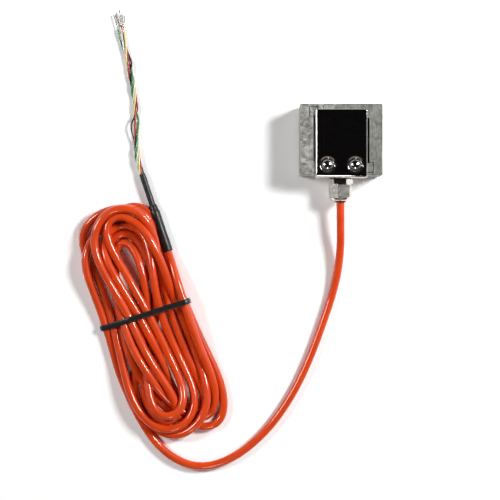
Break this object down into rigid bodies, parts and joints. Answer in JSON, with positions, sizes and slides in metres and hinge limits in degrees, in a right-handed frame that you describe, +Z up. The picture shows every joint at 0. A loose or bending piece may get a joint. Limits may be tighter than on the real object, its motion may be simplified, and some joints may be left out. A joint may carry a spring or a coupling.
{
  "type": "s type load cell",
  "caption": "S-shaped tension and compression force sensor: slotted steel block with polished wrap cover, cable gland and a tied hank of orange cable ending in five stripped wires.",
  "frame": {"origin": "on the plane that the cell rests on, under the middle of the sensing body", "axes": "+X along the load axis, towards the right load thread; the cable leaves towards -Y; +Z up, out of the front of the cover"},
  "size_m": [0.2266, 0.3458, 0.0302],
  "materials": {
    "plated_steel": "nickel-plated alloy steel, milled and brushed, fine scratches",
    "polished_cover": "mirror-polished stainless sheet",
    "screw_steel": "bright zinc-plated steel",
    "nickel_brass": "nickel-plated brass, turned",
    "black_rubber": "matt black nitrile",
    "claw_plastic": "grey polyamide",
    "cable_jacket": "glossy orange-red polyurethane jacket",
    "tie_elastic": "black elastic tie",
    "shrink_sleeve": "black heat-shrink sleeve, satin",
    "wire_red": "red wire insulation",
    "wire_black": "black wire insulation",
    "wire_green": "green wire insulation",
    "wire_white": "white wire insulation",
    "wire_yellow": "pale yellow wire insulation",
    "tinned_copper": "tinned copper strands",
    "gauge_foil": "polyimide gauge carrier with foil",
    "board": "glass-fibre board",
    "resistor": "chip resistor"
  },
  "bodies": {
    "root": {"load_cell_body": "plated_steel", "sensor_cover": "polished_cover", "front_pocket_seal": "black_rubber", "rear_pocket_seal": "black_rubber", "terminal_board": "board", "trim_resistor_left": "resistor", "trim_resistor_right": "resistor", "port_washer": "black_rubber", "gland_o_ring": "black_rubber", "gland_seal": "black_rubber", "gland_body": "nickel_brass", "gland_dome_nut": "nickel_brass", "gland_claw": "claw_plastic", "cable_lead": "cable_jacket", "cable_hank": "cable_jacket", "cable_tail": "cable_jacket", "hank_tie": "tie_elastic", "large_sleeve": "shrink_sleeve", "small_sleeve": "shrink_sleeve", "front_screw_left": "screw_steel", "front_screw_right": "screw_steel", "rear_screw_left": "screw_steel", "rear_screw_right": "screw_steel", "front_gauge_left": "gauge_foil", "front_gauge_right": "gauge_foil", "rear_gauge_left": "gauge_foil", "rear_gauge_right": "gauge_foil", "board_lead_red": "wire_red", "wire_red": "wire_red", "wire_tip_red": "tinned_copper", "board_lead_black": "wire_black", "wire_black": "wire_black", "wire_tip_black": "tinned_copper", "board_lead_green": "wire_green", "wire_green": "wire_green", "wire_tip_green": "tinned_copper", "board_lead_white": "wire_white", "wire_white": "wire_white", "wire_tip_white": "tinned_copper", "board_lead_yellow": "wire_yellow", "wire_yellow": "wire_yellow", "wire_tip_yellow": "tinned_copper"}
  },
  "joints": []
}
